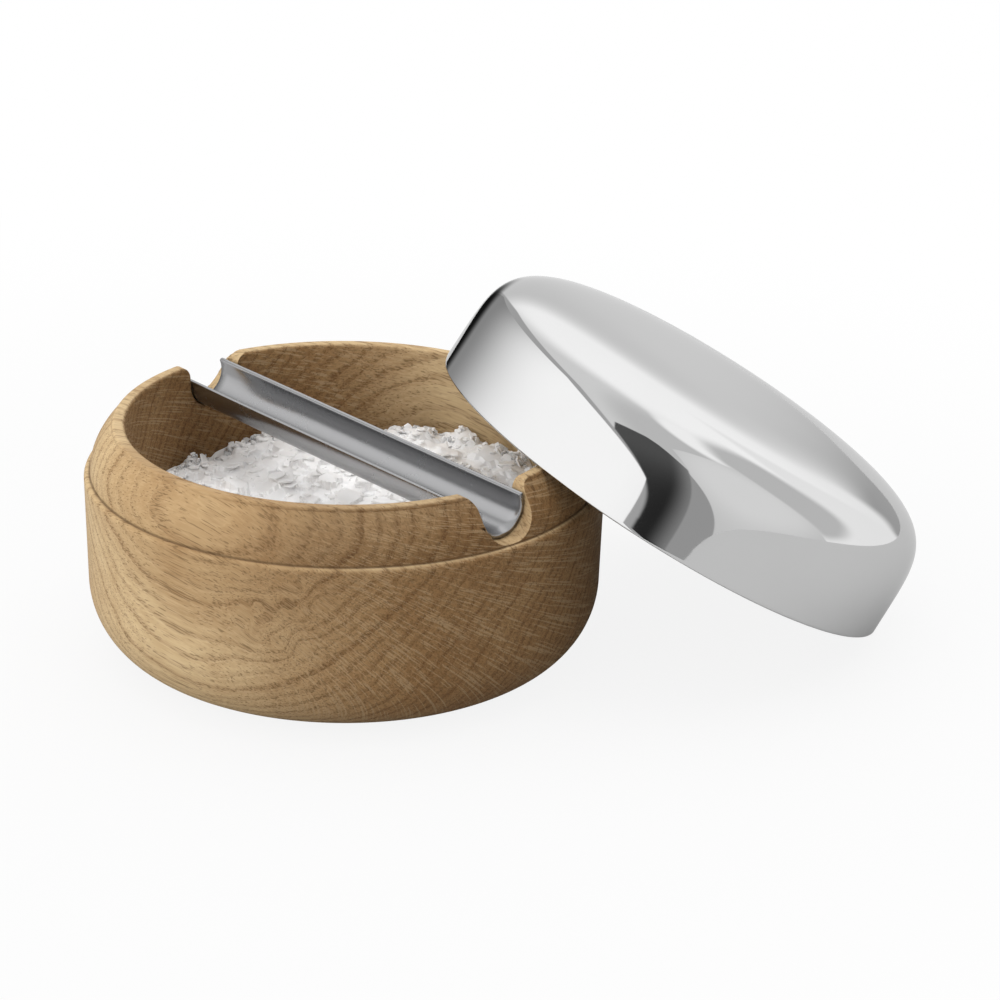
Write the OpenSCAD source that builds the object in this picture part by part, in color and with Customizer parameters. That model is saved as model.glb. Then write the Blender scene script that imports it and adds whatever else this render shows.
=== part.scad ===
// Salt cellar: a turned oak bowl with a stepped neck, a polished steel lid that
// leans on its rim, and a straight steel scoop lying in two notches over the salt.
// The origin is the centre of the bowl's underside, with +Z up and +X towards the lid.

/* [Bowl] */
// Outer diameter of the bowl at its ledge
bowl_d = 100; // [80:1:130]
// Diameter of the flat that the bowl stands on
base_d = 72; // [50:1:74]
// Height of the rounded belly
belly_h = 14.8; // [8:0.1:20]
// How much narrower in radius the wall is at the top of the belly than at the ledge
wall_draft = 0.5; // [0:0.1:2]
// Height of the ledge that the closed lid sits on
ledge_h = 35.8; // [30:0.1:50]
// Rounding of the ledge's outer edge
ledge_round = 0.9; // [0.3:0.1:1.1]
// Height of the neck above the ledge
neck_h = 9.8; // [9:0.1:16]
// How much the neck draws in from the ledge to the rim, in radius
neck_taper = 4.2; // [1:0.1:8]
// How far the neck's side swells outside a straight cone
neck_bulge = 1.1; // [0:0.1:2]
// Thickness of the wall at the rim
rim_wall = 2.6; // [2:0.1:6]
// Rounding of the rim's two edges
rim_round = 0.7; // [0.2:0.1:0.9]
// Thickness of the floor inside
floor_t = 8; // [5:0.5:12]
// Radius of the corner between the floor and the wall inside
floor_round = 15; // [5:0.5:20]

/* [Notches] */
// Gap all round between the scoop and its notches
notch_fit = 0.2; // [0.1:0.05:0.5]
// Height of the notch's lowest line above the ledge
notch_floor = 0.1; // [0.1:0.1:1]
// Rounding of the notch's top corners
notch_round = 2.6; // [0.5:0.1:3.4]

/* [Scoop] */
// Outer diameter of the tube that the scoop is cut from
scoop_d = 11.1; // [9:0.1:12]
// Thickness of the scoop's steel
scoop_wall = 0.9; // [0.6:0.1:1.5]
// How far each lip rises round the tube above its middle, in degrees
scoop_lip = 16; // [0:1:30]
// How far the scoop has rolled over in its notches, in degrees
scoop_roll = 8.5; // [0:0.5:12]
// How far each end of the scoop passes the rim's outer edge
scoop_over = 0.9; // [0:0.1:3]
// Direction of the scoop, in degrees from +X
scoop_turn = -62; // [-100:1:-60]

/* [Lid] */
// Height of the lid
lid_h = 25.5; // [22:0.5:40]
// Thickness of the lid's steel
lid_wall = 1; // [0.7:0.1:1.5]
// Gap in radius between the closed lid and the foot of the neck
lid_fit = 0.2; // [0.1:0.05:0.5]
// How far the lid's wall leans in for each millimetre of height
lid_draft = 0.02; // [0:0.005:0.06]
// Squareness of the shoulder across the lid
shoulder_side = 4.9; // [2:0.1:8]
// Squareness of the shoulder up the lid
shoulder_top = 5.4; // [2:0.1:8]

/* [Lid at rest] */
// How far the middle of the leaning lid's edge lies from the bowl's axis
lean_reach = 63.4; // [60:0.1:68]
// Gap left where the lid leans on the rim
lean_gap = 0.1; // [0.05:0.05:0.5]

/* [Salt] */
// Depth of the salt in the bowl, taken over its whole surface
salt_depth = 19; // [9:0.5:22]
// How much higher than that the heap lies at the lid's side
salt_slope = 2.5; // [0:0.1:3]
// How far the heap rises from its edge to its middle
salt_dome = 0.4; // [0:0.1:2]
// Height of the lumps on top
salt_lumps = 0.7; // [0:0.1:1]
// Distance from lump to lump
lump_pitch = 8.6; // [7:0.1:12]
// Gap between the salt and the wood
salt_gap = 0.1; // [0.05:0.05:0.3]

/* [Hidden] */

turn_fn = 96;                     // segments of a full turn
arc_steps = 8;                    // steps of a quarter round in a profile
dome_steps = 26;                  // steps of the dome's profile
past = 1;                         // how far a cutter runs past what it cuts

bowl_r = bowl_d / 2;
base_r = base_d / 2;
belly_r = bowl_r - wall_draft;
lid_r = bowl_r;
lid_inner_r = lid_r - lid_wall;
neck_foot_r = lid_inner_r - lid_fit;
rim_r = neck_foot_r - neck_taper;
cavity_r = rim_r - rim_wall;
rim_h = ledge_h + neck_h;

scoop_r = scoop_d / 2;
scoop_len = 2 * (rim_r + scoop_over);
notch_r = scoop_r + notch_fit;
scoop_z = ledge_h + notch_floor + notch_r;

// The bowl's half section.
function arc(cx, cz, rx, rz, from, to, steps = arc_steps) =
    [for (i = [0:steps]) let (a = from + (to - from) * i / steps)
        [cx + rx * cos(a), cz + rz * sin(a)]];
function neck_side(t) = [
    neck_foot_r - neck_taper * t + neck_bulge * 4 * t * (1 - t),
    ledge_h + (neck_h - rim_round) * t
];
neck_outline = concat(
    [for (i = [0:arc_steps]) neck_side(i / arc_steps)],
    arc(rim_r - rim_round, rim_h - rim_round, rim_round, rim_round, 0, 90)
);
body_outline = concat(
    [[0, 0]],
    arc(base_r, belly_h, belly_r - base_r, belly_h, -90, 0, 2 * arc_steps),
    arc(bowl_r - ledge_round, ledge_h - ledge_round, ledge_round, ledge_round, 0, 90)
);
cavity_outline = concat(
    arc(cavity_r + rim_round, rim_h - rim_round, rim_round, rim_round, 90, 180),
    arc(cavity_r - floor_round, floor_t + floor_round, floor_round, floor_round, 0, -90),
    [[0, floor_t]]
);

// The lid's half section, with its edge on z = 0.
function dome_side(r, h, t) =
    let (a = 90 * t * t * (3 - 2 * t), z = h * pow(sin(a), 2 / shoulder_top))
    [(r - lid_draft * z) * pow(cos(a), 2 / shoulder_side), z];
function shell_line(r, h) = concat(
    [for (i = [0:dome_steps - 1]) dome_side(r, h, i / dome_steps)],
    [[0, h]]
);

// How the lid leans: its outer edge stands on the table at z = 0, and its inner edge
// lies over the neck. rim_cross(rho, t) is how far along X the inner edge of a lid
// tilted by t passes over the circle of radius rho round the bowl's axis.
function rim_cross(rho, t) =
    let (u = 1 / pow(lid_inner_r * cos(t), 2), v = 1 / pow(lid_inner_r, 2))
    let (a = u - v, b = -2 * lean_reach * u, c = lean_reach * lean_reach * u + rho * rho * v - 1)
    (-b - sqrt(b * b - 4 * a * c)) / (2 * a);
function lean_clearance(t) = min([for (p = neck_outline)
    lid_r * sin(t) + (lean_reach - rim_cross(p[0], t)) * tan(t) - p[1]]);
function lean_angle(low, high, turns = 24) =
    let (mid = (low + high) / 2)
    turns == 0 ? mid
    : lean_clearance(mid) < lean_gap ? lean_angle(mid, high, turns - 1)
    : lean_angle(low, mid, turns - 1);
lid_tilt = lean_angle(10, 60);

// The salt's surface and the pocket that it fills.
salt_turns = 84;
salt_rings = 14;                  // rings of points over the top
wall_rings = 5;                   // rings of points up the pocket's round corner
salt_r = cavity_r - salt_gap;
salt_bottom = floor_t + salt_gap;
salt_corner = floor_round - salt_gap;
lump_ways = [[15, 1], [78, 1.25], [141, 0.9]];    // three trains of lumps: direction, share of the pitch
function lumps(x, y) = [for (w = lump_ways)
    sin(360 * (x * cos(w[0]) + y * sin(w[0])) / (lump_pitch * w[1]))] * [1, 1, 1];
function salt_top(x, y) = floor_t + salt_depth
    + salt_slope * x / salt_r
    + salt_dome * (1 - (x * x + y * y) / (salt_r * salt_r))
    + salt_lumps * lumps(x, y);
function salt_point(ring, a) =
    ring <= wall_rings
    ? let (q = 90 * ring / wall_rings)
      let (r = salt_r - salt_corner + salt_corner * sin(q))
      [r * cos(a), r * sin(a), salt_bottom + salt_corner * (1 - cos(q))]
    : let (r = salt_r * (1 - (ring - wall_rings - 1) / salt_rings))
      [r * cos(a), r * sin(a), salt_top(r * cos(a), r * sin(a))];

module half_turned(points) {
    rotate_extrude($fn = turn_fn)
        polygon(points);
}

// Both notches in one cut along the scoop, with round top corners.
module notch_cut() {
    run = bowl_d + 2 * past;
    top = rim_h - scoop_z;
    translate([0, 0, scoop_z])
        rotate([0, 0, scoop_turn]) {
            rotate([0, 90, 0])
                cylinder(h = run, r = notch_r, center = true, $fn = turn_fn);
            translate([-run / 2, -notch_r, 0])
                cube([run, 2 * notch_r, top + past]);
            for (side = [-1, 1])
                translate([0, side * (notch_r + notch_round), top - notch_round])
                    difference() {
                        translate([-run / 2, side < 0 ? 0 : -notch_round, 0])
                            cube([run, notch_round, notch_round + past]);
                        rotate([0, 90, 0])
                            cylinder(h = run + past, r = notch_round, center = true, $fn = turn_fn);
                    }
        }
}

module bowl() {
    color("burlywood")
        difference() {
            half_turned(concat(body_outline, neck_outline, cavity_outline));
            notch_cut();
        }
}

module lid() {
    color("lightgray")
        translate([lean_reach, 0, lid_r * sin(lid_tilt)])
            rotate([0, lid_tilt, 0])
                difference() {
                    half_turned(concat([[0, 0]], shell_line(lid_r, lid_h)));
                    translate([0, 0, -past])
                        cylinder(h = 2 * past, r = lid_inner_r, $fn = turn_fn);
                    half_turned(concat([[0, 0]], shell_line(lid_inner_r, lid_h - lid_wall)));
                }
}

// The scoop's cross section, open at the top, rolled a little in its notches.
module scoop_section() {
    reach = scoop_d;
    lip = reach * [cos(scoop_lip), sin(scoop_lip)];
    rotate(scoop_roll)
        difference() {
            circle(r = scoop_r, $fn = turn_fn);
            circle(r = scoop_r - scoop_wall, $fn = turn_fn);
            polygon([[0, 0], lip, [lip.x, reach], [-lip.x, reach], [-lip.x, lip.y]]);
        }
}

module scoop() {
    color("silver")
        translate([0, 0, scoop_z])
            rotate([0, 0, scoop_turn])
                rotate([90, 0, 90])
                    translate([0, 0, -scoop_len / 2])
                        linear_extrude(height = scoop_len)
                            scoop_section();
}

// A heap of salt: rings up the pocket's wall, then rings in over the lumps.
module salt() {
    last = wall_rings + salt_rings;
    step = 360 / salt_turns;
    points = concat(
        [[0, 0, salt_bottom]],
        [for (k = [0:last], i = [0:salt_turns - 1]) salt_point(k, i * step)],
        [[0, 0, salt_top(0, 0)]]
    );
    function at(k, i) = 1 + k * salt_turns + (i % salt_turns);
    top = len(points) - 1;
    faces = concat(
        [for (i = [0:salt_turns - 1]) [0, at(0, i), at(0, i + 1)]],
        [for (k = [0:last - 1], i = [0:salt_turns - 1], half = [0, 1])
            half == 0
            ? [at(k, i), at(k + 1, i), at(k + 1, i + 1)]
            : [at(k, i), at(k + 1, i + 1), at(k, i + 1)]],
        [for (i = [0:salt_turns - 1]) [top, at(last, i + 1), at(last, i)]]
    );
    color("white")
        polyhedron(points, faces);
}

bowl();
lid();
scoop();
salt();
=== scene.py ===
"""Salt cellar: a turned oak bowl, a steel scoop across it, flake salt and a leaning steel lid."""

import math
import random
from collections import namedtuple

import bmesh
import bpy
from mathutils import Matrix, Vector, noise


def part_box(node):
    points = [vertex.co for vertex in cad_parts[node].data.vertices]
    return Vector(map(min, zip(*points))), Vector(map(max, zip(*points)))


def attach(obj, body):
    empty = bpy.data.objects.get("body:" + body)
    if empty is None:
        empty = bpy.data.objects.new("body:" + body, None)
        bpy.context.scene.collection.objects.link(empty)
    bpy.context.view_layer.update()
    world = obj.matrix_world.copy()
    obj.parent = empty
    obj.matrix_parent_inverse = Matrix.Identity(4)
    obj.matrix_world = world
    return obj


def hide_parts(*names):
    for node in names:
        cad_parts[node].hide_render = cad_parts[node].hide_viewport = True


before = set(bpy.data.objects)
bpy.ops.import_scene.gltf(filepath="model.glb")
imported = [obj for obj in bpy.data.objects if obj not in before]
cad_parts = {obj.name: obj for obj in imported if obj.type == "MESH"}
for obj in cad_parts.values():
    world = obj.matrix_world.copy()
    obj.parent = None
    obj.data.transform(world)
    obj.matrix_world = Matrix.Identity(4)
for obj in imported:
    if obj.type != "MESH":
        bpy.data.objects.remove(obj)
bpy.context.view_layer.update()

MM = 0.001

# ---------------------------------------------------------------- sizes, in millimetres
# They repeat part.scad's values, because the pieces here are finer copies of its solids.
BOWL_R = 50
BASE_R = 36
BELLY_H = 14.8
WALL_DRAFT = 0.5
LEDGE_H = 35.8
LEDGE_ROUND = 0.9
NECK_H = 9.8
NECK_TAPER = 4.2
NECK_BULGE = 1.1
RIM_WALL = 2.6
RIM_ROUND = 0.7
FLOOR_T = 8
FLOOR_ROUND = 15

NOTCH_FIT = 0.2
NOTCH_FLOOR = 0.1
NOTCH_ROUND = 2.6

SCOOP_R = 5.55
SCOOP_WALL = 0.9
SCOOP_LIP = 16          # degrees that the tube goes on past half round, on each side
SCOOP_ROLL = 8.5        # degrees about its own length
SCOOP_OVER = 0.9
SCOOP_TURN = -62        # degrees about the bowl's axis

LID_R = 50
LID_H = 25.5
LID_WALL = 1
LID_FIT = 0.2
LID_DRAFT = 0.02
SHOULDER_SIDE = 4.9     # powers of the shoulder's curve, which is a superellipse
SHOULDER_TOP = 5.4
LEAN_REACH = 63.4       # from the bowl's axis to the middle of the lid's lower edge

NECK_FOOT_R = LID_R - LID_WALL - LID_FIT
RIM_R = NECK_FOOT_R - NECK_TAPER
RIM_H = LEDGE_H + NECK_H
CAVITY_R = RIM_R - RIM_WALL
SCOOP_LEN = 2 * (RIM_R + SCOOP_OVER)
NOTCH_R = SCOOP_R + NOTCH_FIT
SCOOP_Z = LEDGE_H + NOTCH_FLOOR + NOTCH_R

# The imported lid's box gives the lean, because its lowest edge stands on the table.
LID_TILT = math.acos((LEAN_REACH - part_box("lid")[0].x / MM) / LID_R)

SALT_GAP = 0.15         # between the salt and the wood round it
SALT_R = CAVITY_R - SALT_GAP
SALT_TOP = FLOOR_T + 19
SALT_SLOPE = 2.5
SALT_DOME = 0.4
SALT_LUMPS = 0.7
LUMP_PITCH = 8.6
LUMP_WAYS = ((15, 1), (78, 1.25), (141, 0.9))   # azimuth in degrees, and share of the pitch

# Details that only the scene has.
BREAK = 0.22            # how far the wood's edges are broken
LID_EDGE = 0.3          # radius at the lid's lower edge
LID_STRAIGHT = 3.0      # up to this height the lid's wall is drawn straight
SCOOP_EDGE = 0.18       # how far the scoop's lips are broken
SCOOP_END = 0.12        # the same at its ends
TURNS = 288             # sides of the bowl and the lid


# ---------------------------------------------------------------- mesh helpers
def arc(cx, cz, rx, rz, start, end, steps):
    """Points of a quarter ellipse in a profile, from angle start to end in degrees."""
    angles = [math.radians(start + (end - start) * i / steps) for i in range(steps + 1)]
    return [(cx + rx * math.cos(a), cz + rz * math.sin(a)) for a in angles]


def line(p, q, steps):
    """Points from p to q with both ends left out."""
    shares = [i / steps for i in range(1, steps)]
    return [(p[0] + (q[0] - p[0]) * t, p[1] + (q[1] - p[1]) * t) for t in shares]


def circle(r, turns):
    """Points of a circle round the axis."""
    angles = [2 * math.pi * i / turns for i in range(turns)]
    return [(r * math.cos(a), r * math.sin(a)) for a in angles]


def mesh_object(name, verts, faces, smooth=True):
    """A new object from points in millimetres."""
    mesh = bpy.data.meshes.new(name)
    mesh.from_pydata([tuple(c * MM for c in v) for v in verts], [], faces)
    mesh.validate()
    mesh.polygons.foreach_set("use_smooth", [smooth] * len(mesh.polygons))
    obj = bpy.data.objects.new(name, mesh)
    bpy.context.scene.collection.objects.link(obj)
    return obj


def closed_skin(rows, turns):
    """Faces of a closed skin. Its points are one tip, rows of points round the axis, and one tip."""
    def at(row, i):
        return 1 + row * turns + i % turns

    tip = 1 + rows * turns
    faces = [(0, at(0, i + 1), at(0, i)) for i in range(turns)]
    for row in range(rows - 1):
        faces += [(at(row, i), at(row, i + 1), at(row + 1, i + 1), at(row + 1, i)) for i in range(turns)]
    faces += [(tip, at(rows - 1, i), at(rows - 1, i + 1)) for i in range(turns)]
    return faces


def lathe(name, profile, turns):
    """A closed solid of revolution. The profile starts and ends on the axis."""
    verts = [(0, 0, profile[0][1])]
    for r, z in profile[1:-1]:
        verts += [(x, y, z) for x, y in circle(r, turns)]
    verts.append((0, 0, profile[-1][1]))
    return mesh_object(name, verts, closed_skin(len(profile) - 2, turns))


def apply_modifiers(obj):
    """Puts the result of the object's modifiers into its mesh."""
    depsgraph = bpy.context.evaluated_depsgraph_get()
    mesh = bpy.data.meshes.new_from_object(obj.evaluated_get(depsgraph))
    obj.modifiers.clear()
    obj.data = mesh


def face_outwards(obj):
    """Turns all faces of a closed mesh outwards."""
    bm = bmesh.new()
    bm.from_mesh(obj.data)
    bmesh.ops.recalc_face_normals(bm, faces=bm.faces)
    bm.to_mesh(obj.data)
    bm.free()


def smooth_by_angle(obj, degrees):
    """Smooth shading with sharp edges where faces meet at more than an angle."""
    limit = math.radians(degrees)
    bm = bmesh.new()
    bm.from_mesh(obj.data)
    for face in bm.faces:
        face.smooth = True
    for edge in bm.edges:
        edge.smooth = len(edge.link_faces) == 2 and edge.calc_face_angle(0) < limit
    bm.to_mesh(obj.data)
    bm.free()


# ---------------------------------------------------------------- node helpers
class Nodes:
    """Builds a node tree with short calls. An input is given by name or by number."""

    def __init__(self, tree):
        self.tree = tree
        tree.nodes.clear()

    def add(self, kind, inputs=None, **settings):
        made = self.tree.nodes.new(kind)
        for key, value in settings.items():
            setattr(made, key, value)
        for key, value in (inputs or {}).items():
            self.feed(made.inputs[key], value)
        return made

    def feed(self, socket, value):
        if isinstance(value, bpy.types.NodeSocket):
            self.tree.links.new(value, socket)
        else:
            socket.default_value = value

    def math(self, operation, a, b=0.0):
        return self.add("ShaderNodeMath", {0: a, 1: b}, operation=operation).outputs[0]

    def plus(self, a, b):
        return self.math("ADD", a, b)

    def minus(self, a, b):
        return self.math("SUBTRACT", a, b)

    def times(self, a, b):
        return self.math("MULTIPLY", a, b)

    def over(self, a, b):
        return self.math("DIVIDE", a, b)

    def vector(self, operation, a, b=(0, 0, 0)):
        made = self.add("ShaderNodeVectorMath", {0: a, 1: b}, operation=operation)
        is_number = operation in ("DOT_PRODUCT", "LENGTH", "DISTANCE")
        return made.outputs["Value" if is_number else "Vector"]

    def combine(self, x, y, z):
        return self.add("ShaderNodeCombineXYZ", {0: x, 1: y, 2: z}).outputs[0]

    def ramp(self, value, low, high, out_low=0.0, out_high=1.0, kind="SMOOTHSTEP"):
        """out_low below low, out_high above high, and a smooth change between them."""
        made = self.add("ShaderNodeMapRange", {"Value": value, "From Min": low, "From Max": high,
                                               "To Min": out_low, "To Max": out_high},
                        interpolation_type=kind)
        return made.outputs["Result"]

    def noise(self, vector, scale, detail=2.0, rough=0.5):
        made = self.add("ShaderNodeTexNoise", {"Vector": vector, "Scale": scale, "Detail": detail,
                                               "Roughness": rough})
        return made.outputs["Fac"]

    def mix(self, factor, a, b, blend="MIX"):
        made = self.add("ShaderNodeMix", data_type="RGBA", blend_type=blend)
        self.feed(made.inputs[0], factor)
        self.feed(made.inputs[6], a)
        self.feed(made.inputs[7], b)
        return made.outputs[2]

    def bump(self, strength, distance, height):
        made = self.add("ShaderNodeBump", {"Strength": strength, "Distance": distance, "Height": height})
        return made.outputs[0]

    def mix_shaders(self, factor, a, b):
        return self.add("ShaderNodeMixShader", {0: factor, 1: a.outputs[0], 2: b.outputs[0]})

    def principled(self, inputs):
        """The material's shader."""
        shader = self.add("ShaderNodeBsdfPrincipled", inputs)
        self.add("ShaderNodeOutputMaterial", {"Surface": shader.outputs[0]})


def new_material(name):
    material = bpy.data.materials.new(name)
    material.use_nodes = True
    return material, Nodes(material.node_tree)


def rgb(r, g, b):
    return (r, g, b, 1.0)


def grey(value):
    return rgb(value, value, value)


def unit(azimuth, elevation):
    """Direction with this azimuth from +X and this elevation, in degrees."""
    a, e = math.radians(azimuth), math.radians(elevation)
    return Vector((math.cos(a) * math.cos(e), math.sin(a) * math.cos(e), math.sin(e)))


# ---------------------------------------------------------------- oak
# The grain is a solid field in the wood, in millimetres, so that it runs on over every edge.
TOWARDS_BARK = unit(-133.3, 35.1)     # out from the heart of the tree
FIBRE = unit(-48, -7)                 # the way the oak's fibres run
FIBRE = (FIBRE - TOWARDS_BARK * FIBRE.dot(TOWARDS_BARK)).normalized()
ALONG_RING = FIBRE.cross(TOWARDS_BARK)
RING = 1.95                           # width of a year's growth
OUTERMOST = Vector((-34.6, -32.6, 43))    # the place on the bowl that was nearest the bark
FAN = 20                              # how far beyond that place the rays would meet
SWIRL = Vector((-20.4, -45.6, 26.5))  # middle of a small swirl in the growth rings
BEND_AT = 7                           # where the fibres bend
BEND_SOFT = 27                        # how gently
BEND = 0.35                           # and how far
SHADED_NECK_MIDDLE = Vector((3, -47, 42))      # middle of the painted shade on the neck's front
CREASE_SHADE_DEPTH = 0.62                    # how much painted shade darkens the crease at the neck's foot

# Grain of each pattern: along the fibres, out through the rings, and round them.
SWAY_GRAIN = (60, 26, 26)
RIPPLE_GRAIN = (16, 4.0, 5.0)
VESSEL_GRAIN = (7.0, 0.26, 0.26)
RAY_GRAIN = (2.2, 11.0, 0.27)
BUNDLE_GRAIN = (9.0, 12.0, 4.0)
FIBRE_GRAIN = (6.25, 1 / 2.4, 1 / 2.4)
MOTTLE_GRAIN = (3.0, 0.55, 0.42)

PALE_OAK = rgb(0.550, 0.412, 0.234)
WARM_OAK = rgb(0.350, 0.222, 0.106)
EARLY_OAK = rgb(0.215, 0.120, 0.052)  # the porous first wood of a year
BRIGHT_FIBRE = rgb(0.66, 0.50, 0.30)
RAY_TONE = rgb(0.42, 0.30, 0.170)
MOTTLE_TONE = rgb(0.100, 0.060, 0.028)
VESSEL_TONE = rgb(0.075, 0.040, 0.017)
# Painted shade for the crease at the neck's foot.
PAINTED_CREASE_TONE = rgb(0.070, 0.038, 0.018)
# These multiply the tone.
NEAR_BARK = rgb(0.78, 0.71, 0.64)
END_GRAIN = rgb(0.54, 0.43, 0.335)
# Painted shade on the neck's front.
NECK_SHADE = rgb(0.79, 0.77, 0.76)


def oak_material():
    material, n = new_material("oiled_oak")
    place = n.add("ShaderNodeTexCoord").outputs["Object"]
    mm = n.vector("SCALE", place)
    mm.node.inputs["Scale"].default_value = 1 / MM
    along = n.vector("DOT_PRODUCT", mm, FIBRE)
    out = n.vector("DOT_PRODUCT", mm, TOWARDS_BARK)
    side = n.vector("DOT_PRODUCT", mm, ALONG_RING)

    def grain(directions, sizes, detail=1.0, rough=0.5):
        """Noise whose grain has one size along each of three directions in the wood."""
        at = n.combine(*(n.over(value, size) for value, size in zip(directions, sizes)))
        return n.noise(at, 1.0, detail, rough)

    # Years of growth: shells that sway, with a small swirl on the front.
    straight = (along, out, side)
    sway = n.times(n.minus(grain(straight, SWAY_GRAIN, 2.0), 0.5), 5.0)
    ripple = n.times(n.minus(grain(straight, RIPPLE_GRAIN, 3.0, 0.6), 0.5), 1.5)
    near_swirl = n.ramp(n.vector("DISTANCE", mm, SWIRL), 2.0, 15.0, 1.0, 0.0)
    twist = n.minus(n.noise(mm, 0.13, 1.0, 0.5), 0.42)
    twist = n.times(twist, n.times(near_swirl, 13.0))
    shell = n.plus(n.plus(out, sway), n.plus(ripple, twist))
    years = n.over(shell, RING)
    year = n.math("FRACT", years)
    wetness = n.noise(n.combine(n.times(years, 0.8), 0.0, 0.0), 1.0, 1.0, 0.5)
    early = n.times(n.ramp(year, 0.0, 0.14), n.ramp(year, 0.22, 0.62, 1.0, 0.0))
    early = n.times(early, n.ramp(wetness, 0.30, 0.65, 0.35, 1.0))

    # The fibres bend gently within each shell, and the rays fan out below the outermost place.
    bend = n.vector("LENGTH", n.combine(n.plus(along, BEND_AT), BEND_SOFT, 0.0))
    strand = n.minus(side, n.times(bend, BEND))
    depth = n.minus(TOWARDS_BARK.dot(OUTERMOST) + FAN, out)
    fan = n.minus(side, ALONG_RING.dot(OUTERMOST))
    fan = n.over(fan, n.math("MAXIMUM", depth, 4.0))
    fan = n.times(fan, 2.4 * FAN)

    # How squarely the surface cuts across the fibres. Their far ends count only when nearly square.
    facing = n.add("ShaderNodeNewGeometry").outputs["Normal"]
    across = n.vector("DOT_PRODUCT", facing, FIBRE)
    end_grain = n.plus(n.ramp(across, 0.0, 0.80), n.ramp(across, -1.0, -0.60, 1.0, 0.0))

    # Vessels: long thin tubes, more of them in each year's first wood.
    strands = (along, shell, strand)
    tubes = grain(strands, VESSEL_GRAIN)
    vessels = n.ramp(n.plus(tubes, n.times(early, 0.10)), 0.59, 0.70)

    # Rays: thin pale sheets that run out from the heart, in loose bundles.
    sheets = grain((along, shell, fan), RAY_GRAIN)
    bundles = grain((along, shell, fan), BUNDLE_GRAIN)
    rays = n.ramp(n.plus(sheets, n.times(bundles, 0.20)), 0.62, 0.74)
    rays = n.times(rays, n.ramp(end_grain, 0.0, 1.0, 0.12, 1.0))

    # Fibres: fine streaks all over. On end grain they are the dots between the rays.
    fibre = grain(strands, FIBRE_GRAIN, 3.0, 0.6)
    mottle = n.times(n.ramp(grain(strands, MOTTLE_GRAIN), 0.46, 0.64), end_grain)
    cloud = n.noise(mm, 0.055, 3.0, 0.6)

    # Painted shade darkens the narrow crease where the neck rises from the ledge.
    axes = n.add("ShaderNodeSeparateXYZ", {0: mm}).outputs
    from_axis = n.vector("LENGTH", n.combine(axes["X"], axes["Y"], 0.0))
    corner = n.combine(n.minus(from_axis, NECK_FOOT_R), n.minus(axes["Z"], LEDGE_H), 0.0)
    corner = n.ramp(n.vector("LENGTH", corner), 0.12, 0.50, CREASE_SHADE_DEPTH, 0.0)

    # Painted shade darkens the neck's front, right of the middle.
    shaded_neck = n.times(n.ramp(n.vector("DISTANCE", mm, SHADED_NECK_MIDDLE), 14.0, 34.0, 1.0, 0.0),
                        n.ramp(axes["Z"], LEDGE_H - 0.6, LEDGE_H + 1.2))

    tone = n.mix(n.ramp(year, 0.30, 1.0, 0.0, 0.22), PALE_OAK, WARM_OAK)
    tone = n.mix(n.times(early, n.ramp(end_grain, 0.0, 1.0, 0.54, 0.66)), tone, EARLY_OAK)
    tone = n.mix(n.ramp(wetness, 0.30, 0.70, 0.0, 0.30), tone, WARM_OAK)
    tone = n.mix(n.ramp(cloud, 0.40, 0.66, 0.0, 0.50), tone, WARM_OAK)
    tone = n.mix(n.ramp(fibre, 0.40, 0.70, 0.0, 0.35), tone, BRIGHT_FIBRE)
    tone = n.mix(n.ramp(out, 49.0, 61.0), tone, NEAR_BARK, "MULTIPLY")
    tone = n.mix(end_grain, tone, END_GRAIN, "MULTIPLY")
    # Painted shade on the neck's front.
    tone = n.mix(shaded_neck, tone, NECK_SHADE, "MULTIPLY")
    tone = n.mix(n.times(mottle, 0.40), tone, MOTTLE_TONE)
    tone = n.mix(n.times(rays, 0.46), tone, RAY_TONE)
    tone = n.mix(n.times(vessels, n.ramp(end_grain, 0.0, 1.0, 0.46, 0.55)), tone, VESSEL_TONE)
    # Painted shade in the crease at the neck's foot.
    tone = n.mix(corner, tone, PAINTED_CREASE_TONE)

    height = n.minus(n.times(fibre, 0.25), vessels)
    n.principled({
        "Base Color": tone,
        "Roughness": n.ramp(vessels, 0.0, 1.0, 0.58, 0.80, "LINEAR"),
        "Normal": n.bump(0.35, 0.10 * MM, height),
        "Specular IOR Level": 0.10,
    })
    return material


# ---------------------------------------------------------------- steel and salt
# Steel: colour, lowest and highest roughness, depth of the wiping marks, and how fine they are
# along X, Y and Z, in marks per metre.
Steel = namedtuple("Steel", "tone rough_low rough_high scratch marks")
LID_STEEL = Steel((0.60, 0.60, 0.60), 0.02, 0.05, 0.02, (300, 40, 300))
SCOOP_STEEL = Steel((0.34, 0.34, 0.345), 0.24, 0.29, 0.01, (260, 260, 260))

SALT_IOR = 1.54


def steel_material(name, steel):
    """Polished steel with faint wiping marks and a slow haze."""
    material, n = new_material(name)
    place = n.add("ShaderNodeTexCoord").outputs["Object"]
    marks = n.noise(n.vector("MULTIPLY", place, steel.marks), 1.0, 4.0, 0.65)
    haze = n.noise(place, 45.0, 3.0, 0.6)
    wear = n.plus(n.times(marks, 0.4), n.times(haze, 0.6))
    hazy_tone = rgb(*(0.985 * c for c in steel.tone))
    n.principled({
        "Base Color": n.mix(n.ramp(haze, 0.3, 0.7), hazy_tone, rgb(*steel.tone)),
        "Metallic": 1.0,
        "Roughness": n.ramp(wear, 0.35, 0.65, steel.rough_low, steel.rough_high, "LINEAR"),
        "Specular Tint": grey(0.85),
        "Normal": n.bump(steel.scratch, 0.01 * MM, marks),
    })
    return material


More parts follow.
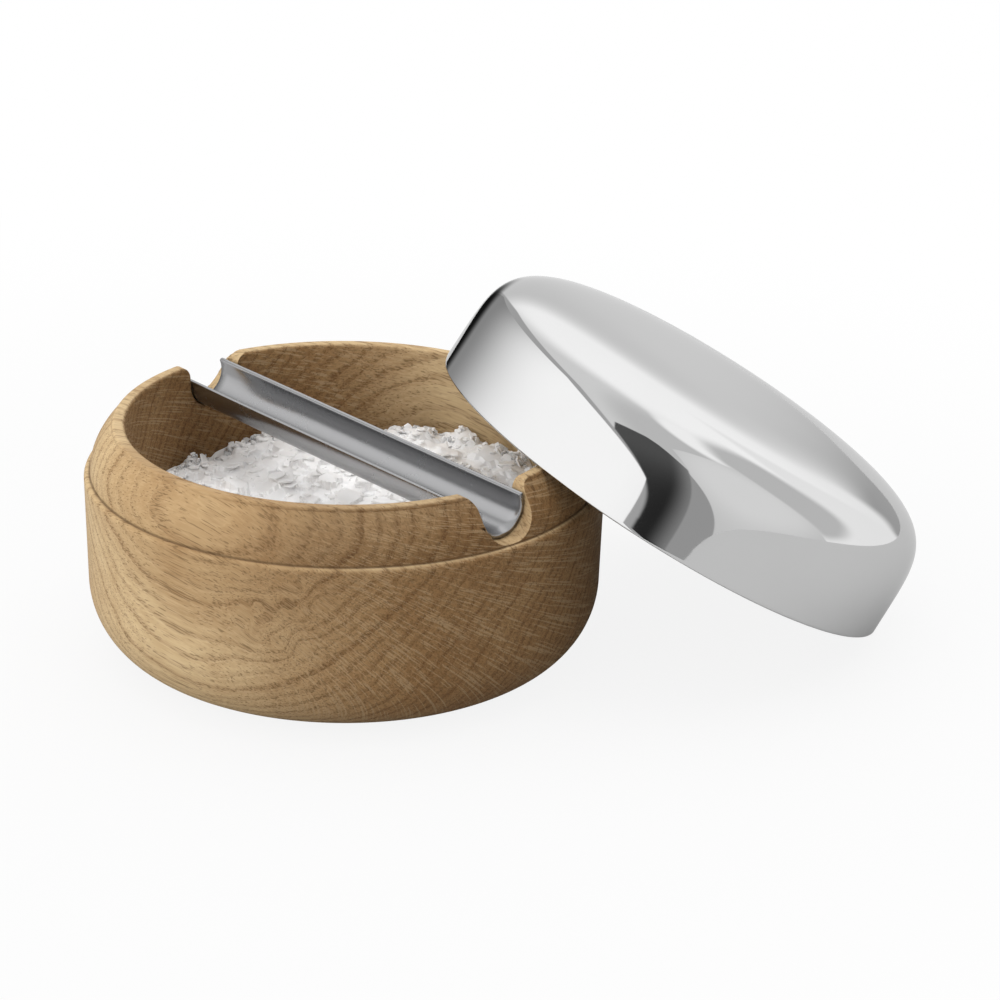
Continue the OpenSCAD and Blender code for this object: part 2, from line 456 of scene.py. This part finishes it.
def salt_material():
    """White salt: dry and milky, with a grainy surface."""
    material, n = new_material("salt_flakes")
    place = n.add("ShaderNodeTexCoord").outputs["Object"]
    grains = n.noise(place, 900.0, 3.0, 0.6)
    patches = n.noise(place, 130.0, 2.0, 0.5)
    shade = n.mix(n.ramp(patches, 0.35, 0.7), rgb(0.955, 0.95, 0.948), rgb(0.985, 0.982, 0.98))
    shade = n.mix(n.ramp(grains, 0.42, 0.62, 0.0, 0.25), shade, rgb(0.93, 0.93, 0.935))
    n.principled({
        "Base Color": shade,
        "Roughness": 0.38,
        "Normal": n.bump(0.35, 0.2 * MM, grains),
        "IOR": SALT_IOR,
    })
    return material


def clear_salt_material():
    """The few flakes that are half clear, like dull ice."""
    material, n = new_material("clear_salt_flakes")
    place = n.add("ShaderNodeTexCoord").outputs["Object"]
    grains = n.noise(place, 700.0, 3.0, 0.6)
    n.principled({
        "Base Color": rgb(0.95, 0.96, 0.97),
        "Roughness": n.ramp(grains, 0.3, 0.7, 0.12, 0.45),
        "Normal": n.bump(0.6, 0.3 * MM, grains),
        "IOR": SALT_IOR,
        "Transmission Weight": 0.5,
    })
    return material


# ---------------------------------------------------------------- bowl
def neck_side(t):
    """A point of the neck's outline, from the ledge at t = 0 to the rim's round at t = 1."""
    r = NECK_FOOT_R - NECK_TAPER * t + NECK_BULGE * 4 * t * (1 - t)
    return r, LEDGE_H + (NECK_H - RIM_ROUND) * t


def bowl_outline():
    """From the middle of the underside, round the outside and the rim, to the middle of the floor."""
    belly = arc(BASE_R, BELLY_H, BOWL_R - WALL_DRAFT - BASE_R, BELLY_H, -90, 0, 28)
    outline = [(0, 0)] + line((0, 0), (BASE_R, 0), 8) + belly
    outline += line(outline[-1], (BOWL_R, LEDGE_H - LEDGE_ROUND), 8)
    outline += arc(BOWL_R - LEDGE_ROUND, LEDGE_H - LEDGE_ROUND, LEDGE_ROUND, LEDGE_ROUND, 0, 90, 8)
    neck_steps = 20
    outline += [neck_side(i / neck_steps) for i in range(neck_steps)]
    outline += arc(RIM_R - RIM_ROUND, RIM_H - RIM_ROUND, RIM_ROUND, RIM_ROUND, 0, 90, 7)
    outline += arc(CAVITY_R + RIM_ROUND, RIM_H - RIM_ROUND, RIM_ROUND, RIM_ROUND, 90, 180, 7)
    outline += line(outline[-1], (CAVITY_R, FLOOR_T + FLOOR_ROUND), 12)
    outline += arc(CAVITY_R - FLOOR_ROUND, FLOOR_T + FLOOR_ROUND, FLOOR_ROUND, FLOOR_ROUND, 0, -90, 16)
    outline += line(outline[-1], (0, FLOOR_T), 6) + [(0, FLOOR_T)]
    return outline


def make_bowl():
    """The turned bowl with its two notches cut and its edges softly broken."""
    bowl = lathe("oak_bowl", bowl_outline(), TURNS)

    cutter = make_notch_cutter()
    cut = bowl.modifiers.new("notches", "BOOLEAN")
    cut.operation = "DIFFERENCE"
    cut.solver = "EXACT"
    cut.object = cutter
    apply_modifiers(bowl)
    bpy.data.objects.remove(cutter)

    edge = bowl.modifiers.new("soft_edges", "BEVEL")
    edge.width = BREAK * MM
    edge.segments = 2
    edge.limit_method = "ANGLE"
    edge.angle_limit = math.radians(38)
    edge.use_clamp_overlap = False
    apply_modifiers(bowl)
    smooth_by_angle(bowl, 32)
    return bowl


def make_notch_cutter():
    """One long bar along the scoop that cuts both notches: a round floor, with horns above it."""
    steps = 14
    top = RIM_H - SCOOP_Z
    over_rim = 1
    half = BOWL_R + 3
    right = arc(0, 0, NOTCH_R, NOTCH_R, -90, 0, 2 * steps)
    right += arc(NOTCH_R + NOTCH_ROUND, top - NOTCH_ROUND, NOTCH_ROUND, NOTCH_ROUND, 180, 90, steps)
    right.append((NOTCH_R + NOTCH_ROUND, top + over_rim))
    outline = right + [(-y, z) for y, z in reversed(right[1:])]
    count = len(outline)
    verts = [(-half, y, z) for y, z in outline] + [(half, y, z) for y, z in outline]
    faces = [tuple(range(count))[::-1], tuple(range(count, 2 * count))]
    faces += [(i, (i + 1) % count, count + (i + 1) % count, count + i) for i in range(count)]
    cutter = mesh_object("notch_cutter", verts, faces)
    turn = Matrix.Rotation(math.radians(SCOOP_TURN), 4, "Z")
    cutter.data.transform(Matrix.Translation((0, 0, SCOOP_Z * MM)) @ turn)
    face_outwards(cutter)
    return cutter


# ---------------------------------------------------------------- lid
def dome_profile(r, h, low, steps):
    """From height low up the wall and over the shoulder to near the crown."""
    first = math.asin((low / h) ** (SHOULDER_TOP / 2))
    points = []
    for i in range(steps):
        t = i / steps
        a = first + (math.pi / 2 - first) * t * t * (3 - 2 * t)
        z = h * math.sin(a) ** (2 / SHOULDER_TOP)
        points.append(((r - LID_DRAFT * z) * math.cos(a) ** (2 / SHOULDER_SIDE), z))
    return points


def make_lid():
    """The spun shell, leaning with its lower edge on the table."""
    inner_r = LID_R - LID_WALL
    outer = dome_profile(LID_R, LID_H, LID_STRAIGHT, 110)
    inner = dome_profile(inner_r, LID_H - LID_WALL, LID_STRAIGHT, 56)
    outline = [(0, LID_H - LID_WALL)] + inner[::-1]
    outline += line(inner[0], (inner_r, LID_EDGE), 5)
    outline += arc(inner_r + LID_EDGE, LID_EDGE, LID_EDGE, LID_EDGE, 180, 270, 4)
    outline += arc(LID_R - LID_EDGE, LID_EDGE, LID_EDGE, LID_EDGE, -90, 0, 4)
    outline += line((LID_R, LID_EDGE), outer[0], 6) + outer + [(0, LID_H)]
    lid = lathe("steel_lid", outline, TURNS)
    lean = Matrix.Translation((LEAN_REACH * MM, 0, LID_R * MM * math.sin(LID_TILT)))
    lid.data.transform(lean @ Matrix.Rotation(LID_TILT, 4, "Y"))
    smooth_by_angle(lid, 60)
    return lid


# ---------------------------------------------------------------- scoop
def scoop_section():
    """Outline of the scoop's section: the outer face, a lip, the inner face and the other lip."""
    steps = 72
    low = math.radians(180 - SCOOP_LIP)
    high = math.radians(360 + SCOOP_LIP)
    inner_r = SCOOP_R - SCOOP_WALL
    lip = SCOOP_EDGE / SCOOP_R
    sweep = high - low - 2 * lip
    near = 0.3    # how far the lip's outer points lie from the faces, as a share of its break

    def at(r, a):
        return r * math.cos(a), r * math.sin(a)

    def lip_points(a, back):
        """Over a lip at angle a, from the outer face to the inner one."""
        return [at(SCOOP_R - SCOOP_EDGE * near, a + back * near), at(SCOOP_R - SCOOP_EDGE, a),
                at(inner_r + SCOOP_EDGE, a), at(inner_r + SCOOP_EDGE * near, a + back * near)]

    outer = [at(SCOOP_R, low + lip + sweep * i / steps) for i in range(steps + 1)]
    inner = [at(inner_r, high - lip - sweep * i / steps) for i in range(steps + 1)]
    return outer + lip_points(high, -lip) + inner + lip_points(low, lip)[::-1]


def make_scoop():
    """A straight tube cut open along its top, with its lips and ends softly broken."""
    outline = scoop_section()
    count = len(outline)
    middle = SCOOP_R - SCOOP_WALL / 2
    end_inset = 0.28

    def drawn_in(p):
        """The point moved a little towards the middle of the wall, for the ends."""
        r, a = math.hypot(*p), math.atan2(p[1], p[0])
        r += (middle - r) * end_inset
        return r * math.cos(a), r * math.sin(a)

    lengths = 40
    half = SCOOP_LEN / 2
    straight = half - SCOOP_END
    end_outline = [drawn_in(p) for p in outline]
    verts = [(-half, y, z) for y, z in end_outline]
    for i in range(lengths + 1):
        x = -straight + 2 * straight * i / lengths
        verts += [(x, y, z) for y, z in outline]
    verts += [(half, y, z) for y, z in end_outline]

    faces = []
    for start in range(0, len(verts) - count, count):
        for i in range(count):
            j = (i + 1) % count
            faces.append((start + i, start + j, start + count + j, start + count + i))
    faces += [tuple(range(count))[::-1], tuple(range(len(verts) - count, len(verts)))]
    scoop = mesh_object("steel_scoop", verts, faces)
    face_outwards(scoop)
    roll = Matrix.Rotation(math.radians(SCOOP_ROLL), 4, "X")
    turn = Matrix.Rotation(math.radians(SCOOP_TURN), 4, "Z")
    scoop.data.transform(Matrix.Translation((0, 0, SCOOP_Z * MM)) @ turn @ roll)
    smooth_by_angle(scoop, 50)
    return scoop


# ---------------------------------------------------------------- salt
# The heap's surface is broken into flat plates, one for each of many scattered points.
PLATE_PITCH = 3.4       # millimetres between plates
PLATE_TILT = 0.16       # most that a plate slopes
PLATE_STEP = 0.35       # most that one stands above another
PLATE_SEED = 5.0
PLATE_SHARE = 0.5       # of the plates in the surface; the rest is the smooth heap

# Flakes: how many, smallest and largest size, tilt in radians, thickness, rise above the heap,
# lowest share of that rise, and the share of them that is clear.
Flakes = namedtuple("Flakes", "count small large tilt thick rise sunk clear")
HEAP_FLAKES = (
    Flakes(420, 2.2, 4.6, 0.10, 0.45, 0.12, -0.35, 0.02),
    Flakes(420, 1.1, 2.2, 0.22, 0.38, 0.20, -0.35, 0.02),
    Flakes(500, 0.4, 1.0, 0.80, 0.26, 0.35, -0.35, 0.02),
)
RIM_FLAKES = Flakes(420, 1.2, 3.0, 0.75, 0.42, 0.9, 0, 0.25)
RIM_BAND = 2.2          # width of the band along the wall where those flakes stand
FLAKE_REACH = 0.62      # a flake keeps this share of its size away from the wall
SALT_SEED = 11


def salt_height(x, y):
    """Height of the heap's surface: part.scad's lumps, with small roughness on them."""
    lumps = 0
    for azimuth, share in LUMP_WAYS:
        a = math.radians(azimuth)
        lumps += math.sin(2 * math.pi * (x * math.cos(a) + y * math.sin(a)) / (LUMP_PITCH * share))
    small = noise.noise(Vector((x, y, 9.0)) / 3.5)
    dome = SALT_DOME * (1 - (x * x + y * y) / SALT_R ** 2)
    return SALT_TOP + SALT_SLOPE * x / SALT_R + dome + SALT_LUMPS * lumps + 0.3 * small


def facet_height(x, y):
    """Height of the surface with its plates. The plate of the nearest scattered point counts."""
    nearest = None
    plate = 0
    column, row = math.floor(x / PLATE_PITCH), math.floor(y / PLATE_PITCH)
    for a in range(column - 1, column + 2):
        for b in range(row - 1, row + 2):
            jitter = noise.cell_vector(Vector((a + 0.5, b + 0.5, PLATE_SEED)))
            lean = noise.cell_vector(Vector((a + 0.5, b + 0.5, PLATE_SEED + 3)))
            cx, cy = (a + jitter.x) * PLATE_PITCH, (b + jitter.y) * PLATE_PITCH
            gap = (x - cx) ** 2 + (y - cy) ** 2 + lean.z
            if nearest is None or gap < nearest:
                nearest = gap
                slope = 2 * PLATE_TILT * ((lean.x - 0.5) * (x - cx) + (lean.y - 0.5) * (y - cy))
                plate = salt_height(cx, cy) + slope + (jitter.z - 0.5) * PLATE_STEP
    return PLATE_SHARE * plate + (1 - PLATE_SHARE) * salt_height(x, y)


def make_salt():
    """A closed heap of flat plates with broken flakes on it, joined in one mesh."""
    turns = 260
    top_rows = 84
    corner_rows = 8
    bottom = FLOOR_T + SALT_GAP
    corner = FLOOR_ROUND - SALT_GAP
    verts = [(0, 0, bottom)]
    for k in range(corner_rows + 1):
        q = math.radians(90) * k / corner_rows
        z = bottom + corner * (1 - math.cos(q))
        verts += [(x, y, z) for x, y in circle(SALT_R - corner + corner * math.sin(q), turns)]
    for k in range(top_rows):
        r = SALT_R * (top_rows - k) / top_rows
        verts += [(x, y, facet_height(x, y)) for x, y in circle(r, turns)]
    verts.append((0, 0, facet_height(0, 0)))
    faces = closed_skin(corner_rows + 1 + top_rows, turns)

    rng = random.Random(SALT_SEED)
    clear = [0] * len(faces)
    for kind in HEAP_FLAKES:
        scatter(verts, faces, clear, rng, kind, at_rim=False)
    scatter(verts, faces, clear, rng, RIM_FLAKES, at_rim=True)
    salt = mesh_object("salt_heap", verts, faces, smooth=False)
    salt.data.polygons.foreach_set("material_index", clear[:len(salt.data.polygons)])
    return salt


def scatter(verts, faces, clear, rng, kind, at_rim):
    """Adds one kind of flake, all over the heap or along the wall, and says which are clear."""
    for _ in range(kind.count):
        size = rng.uniform(kind.small, kind.large)
        reach = SALT_R - size * FLAKE_REACH
        r = reach - rng.uniform(0, RIM_BAND) if at_rim else reach * math.sqrt(rng.random())
        a = rng.uniform(0, 2 * math.pi)
        x, y = r * math.cos(a), r * math.sin(a)
        z = salt_height(x, y) + rng.uniform(kind.sunk, 1) * kind.rise
        thick = kind.thick * rng.uniform(0.7, 1.3)
        add_flake(verts, faces, rng, Vector((x, y, z)), size, kind.tilt, thick)
        is_clear = rng.random() < kind.clear
        clear += [int(is_clear)] * (len(faces) - len(clear))


def add_flake(verts, faces, rng, centre, size, tilt, thick):
    """A thin crystal plate with a broken outline, bevelled by two smaller faces."""
    corners = rng.randint(5, 8)
    start = rng.uniform(0, 2 * math.pi)
    stretch = rng.uniform(0.6, 1.0)
    turn = Matrix.Rotation(rng.uniform(0, 2 * math.pi), 3, "Z")
    turn = turn @ Matrix.Rotation(rng.gauss(0, tilt), 3, "X")
    turn = turn @ Matrix.Rotation(rng.gauss(0, tilt), 3, "Y")
    outline = []
    for i in range(corners):
        a = start + 2 * math.pi * (i + rng.uniform(-0.28, 0.28)) / corners
        reach = size / 2 * rng.uniform(0.72, 1.08)
        outline.append((reach * math.cos(a), reach * stretch * math.sin(a)))
    first = len(verts)
    face_scale, edge_height = 0.82, 0.12
    levels = ((face_scale, -0.5), (1.0, -edge_height), (1.0, edge_height), (face_scale, 0.5))
    for scale, height in levels:
        for x, y in outline:
            rough = rng.uniform(-0.1, 0.1)
            verts.append(tuple(centre + turn @ Vector((x * scale, y * scale, (height + rough) * thick))))
    for level in range(len(levels) - 1):
        low = first + level * corners
        high = low + corners
        faces += [(low + i, low + (i + 1) % corners, high + (i + 1) % corners, high + i)
                  for i in range(corners)]
    faces.append(tuple(range(first, first + corners))[::-1])
    faces.append(tuple(range(first + 3 * corners, first + 4 * corners)))


# ---------------------------------------------------------------- the pieces
def dress(obj, body, node, slot, *materials):
    """Gives a piece its materials and body, and puts it in place of a CAD node. The slot is not used."""
    for material in materials:
        obj.data.materials.append(material)
    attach(obj, body)
    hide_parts(node)


dress(make_bowl(), "bowl", "bowl", "oak", oak_material())
dress(make_lid(), "lid", "lid", "lid_steel", steel_material("polished_lid_steel", LID_STEEL))
dress(make_scoop(), "scoop", "scoop", "scoop_steel", steel_material("satin_scoop_steel", SCOOP_STEEL))
dress(make_salt(), "bowl", "salt", "salt", salt_material(), clear_salt_material())


# ---------------------------------------------------------------- studio
CAMERA_AZIMUTH = -103.7   # the way from the object to the camera, seen from above

# What the steel mirrors. Corners are (azimuth from the camera, elevation) in degrees, as seen
# from the object.
BACK_STRIP = ((98, -20), (130, -20), (148, 30), (128, 30), (99, 5))
GREY_BOARD = ((71, -6), (98, -4), (108, 11), (128, 23), (130, 34), (119, 50), (102, 58), (71, 54))
RIGHT_WALL = ((6, -60), (72.5, -60), (72.5, 47), (8, 46))
LOW_BOARD = ((138, -24), (168, -24), (168, -8), (160, 0), (152, 4), (138, -4))
GREY_STRIP = ((-30, -40), (16, -40), (13.5, -7), (11, 5), (9, 13), (5.5, 28), (-20, 30))
DARK_GAP = ((-40, -40), (-9, -40), (7, 27), (4, 32.5), (0, 38.5), (-5, 43), (-12, 45.6), (-36, 43))
BOX_FRAME = ((-14, -40), (-14, 21.5), (-24, 35), (-40, 46.5), (-60, 54), (-90, 59), (-120, 58),
             (-138, 52), (-146, 44), (-160, 24), (-174, -18))
SOFT_BOX = ((-22, -40), (-17.4, 21), (-20.5, 29), (-26, 36), (-40, 44.8), (-60, 50.8), (-93, 54.2),
            (-125, 50.5), (-143, 44), (-158, 24), (-173, -18))
MIRRORED_STRENGTH = 0.90


def studio_world():
    """Pale walls and ceiling with a large soft box on the left and a dark gap at the camera."""
    world = bpy.data.worlds.new("studio")
    bpy.context.scene.world = world
    world.use_nodes = True
    n = Nodes(world.node_tree)
    ray = n.add("ShaderNodeTexCoord").outputs["Generated"]
    up = n.vector("DOT_PRODUCT", ray, (0, 0, 1))

    def way(azimuth, elevation):
        return unit(CAMERA_AZIMUTH + azimuth, elevation)

    def panel(corners, soft):
        """1 inside a panel with straight edges, 0 outside, with a soft border."""
        ways = [way(a, e) for a, e in corners]
        middle = sum(ways, Vector())
        mask = None
        for p, q in zip(ways, ways[1:] + ways[:1]):
            normal = p.cross(q).normalized()
            if normal.dot(middle) < 0:
                normal.negate()
            inside = n.ramp(n.vector("DOT_PRODUCT", ray, normal), -soft, soft)
            mask = inside if mask is None else n.times(mask, inside)
        return mask

    def towards(azimuth, elevation, wide, narrow):
        """1 within the narrow angle of a direction, 0 outside the wide one."""
        near = n.vector("DOT_PRODUCT", ray, way(azimuth, elevation))
        return n.ramp(near, math.cos(math.radians(wide)), math.cos(math.radians(narrow)))

    def card(under, corners, soft, level):
        """A panel of one grey over what is there."""
        return n.mix(panel(corners, soft), under, grey(level))

    def spot(under, azimuth, elevation, wide, narrow, level):
        """A round patch of one grey over what is there."""
        return n.mix(towards(azimuth, elevation, wide, narrow), under, grey(level))

    # Ceiling, back wall and right wall.
    right_half = n.vector("DOT_PRODUCT", ray, way(128, 0))
    tone = n.mix(n.ramp(right_half, 0.08, 0.34), grey(1.08), grey(1.42))
    tone = spot(tone, azimuth=15, elevation=56, wide=38, narrow=14, level=0.86)
    tone = spot(tone, azimuth=160, elevation=45, wide=46, narrow=21, level=1.60)
    tone = spot(tone, azimuth=-178, elevation=0, wide=32, narrow=13, level=0.98)
    tone = card(tone, BACK_STRIP, soft=0.05, level=1.40)
    tone = spot(tone, azimuth=76, elevation=62, wide=17, narrow=9, level=1.55)
    tone = card(tone, GREY_BOARD, soft=0.10, level=0.84)
    wall = n.mix(towards(42, 22, 44, 16), grey(0.94), grey(1.16))
    tone = n.mix(panel(RIGHT_WALL, 0.006), tone, wall)
    tone = card(tone, LOW_BOARD, soft=0.06, level=0.58)

    # The gap at the camera: a grey strip, then a dark one that fades towards it.
    tone = card(tone, GREY_STRIP, soft=0.005, level=0.52)
    fade = n.vector("DOT_PRODUCT", ray, way(5.5, 27).cross(way(-12, -40)).normalized())
    dark = n.mix(n.ramp(up, 0.02, 0.60), grey(0.03), grey(0.13))
    dark = n.mix(n.ramp(fade, -0.15, 0.09), dark, grey(0.40))
    tone = n.mix(panel(DARK_GAP, 0.010), tone, dark)

    # The soft box with its grey frame, and a dark flag at its far end.
    tone = card(tone, BOX_FRAME, soft=0.012, level=0.62)
    cloth = n.mix(towards(-50, 30, 100, 20), grey(0.42), grey(1.66))
    tone = n.mix(panel(SOFT_BOX, 0.005), tone, cloth)
    tone = spot(tone, azimuth=-165, elevation=-9, wide=15, narrow=3, level=0.01)

    # The soft light on wood and salt: from all over the sky, from above and behind, and from the left.
    glow = n.mix(n.ramp(up, 0.1, 0.9), grey(0.08), grey(0.90))
    glow = spot(glow, azimuth=172, elevation=68, wide=56, narrow=8, level=2.40)
    glow = spot(glow, azimuth=-54, elevation=6, wide=62, narrow=12, level=2.65)
    lamps = n.add("ShaderNodeBackground", {"Color": glow, "Strength": 1.0})
    mirrored = n.add("ShaderNodeBackground", {"Color": tone, "Strength": MIRRORED_STRENGTH})
    white = n.add("ShaderNodeBackground", {"Color": grey(1.0), "Strength": 1.0})
    rays = n.add("ShaderNodeLightPath").outputs
    light = n.mix_shaders(rays["Is Glossy Ray"], lamps, mirrored)
    seen = n.math("MAXIMUM", rays["Is Camera Ray"], rays["Is Transmission Ray"])
    shown = n.mix_shaders(seen, light, white)
    n.add("ShaderNodeOutputWorld", {"Surface": shown.outputs[0]})


# ---------------------------------------------------------------- floor and camera
FLOOR_R = 300
CAMERA_PLACE = Vector((-124.01, -634.60, 296.26))
CAMERA_PITCH = 22.43      # degrees down from level
CAMERA_ROLL = -1.29
CAMERA_HEADING = 13.71    # degrees from +Y towards +X
CAMERA_LENS = 130.3
CAMERA_SENSOR = 36


def floor_material():
    """White paper. The camera sees it lifted to white, with a faint shadow of the object."""
    material, n = new_material("white_paper")
    paper = n.add("ShaderNodeBsdfDiffuse", {"Color": grey(0.56)})
    lifted = n.add("ShaderNodeEmission", {"Color": grey(1.0), "Strength": 1.0})
    place = n.add("ShaderNodeTexCoord").outputs["Object"]
    share = n.ramp(n.vector("LENGTH", place), 0.10, 0.28, 0.88, 1.0)
    rays = n.add("ShaderNodeLightPath").outputs
    seen = n.times(n.math("MAXIMUM", rays["Is Camera Ray"], rays["Is Transmission Ray"]), share)
    seen = n.math("MAXIMUM", seen, n.times(rays["Is Glossy Ray"], 0.05))
    shown = n.mix_shaders(seen, paper, lifted)
    n.add("ShaderNodeOutputMaterial", {"Surface": shown.outputs[0]})
    return material


def make_floor():
    """A round white table top."""
    turns = 96
    floor = mesh_object("floor", [(x, y, 0) for x, y in circle(FLOOR_R, turns)], [tuple(range(turns))])
    floor.data.materials.append(floor_material())


def make_camera():
    """The photograph's camera, found from the object's outlines in it."""
    pitch, roll, heading = (math.radians(v) for v in (CAMERA_PITCH, CAMERA_ROLL, CAMERA_HEADING))
    data = bpy.data.cameras.new("camera")
    data.sensor_width = CAMERA_SENSOR
    data.lens = CAMERA_LENS
    data.clip_end = 100
    camera = bpy.data.objects.new("camera", data)
    bpy.context.scene.collection.objects.link(camera)
    ahead = Vector((math.sin(heading), math.cos(heading), 0))
    forward = ahead * math.cos(pitch) - Vector((0, 0, math.sin(pitch)))
    right = Vector((math.cos(heading), -math.sin(heading), 0))
    up = right.cross(forward)
    rolled_up = math.cos(roll) * up + math.sin(roll) * right
    rolled_right = math.cos(roll) * right - math.sin(roll) * up
    turn = Matrix((rolled_right, rolled_up, -forward)).transposed().to_4x4()
    camera.matrix_world = Matrix.Translation(CAMERA_PLACE * MM) @ turn
    bpy.context.scene.camera = camera


studio_world()
make_floor()
make_camera()
bpy.context.scene.view_settings.view_transform = "Standard"
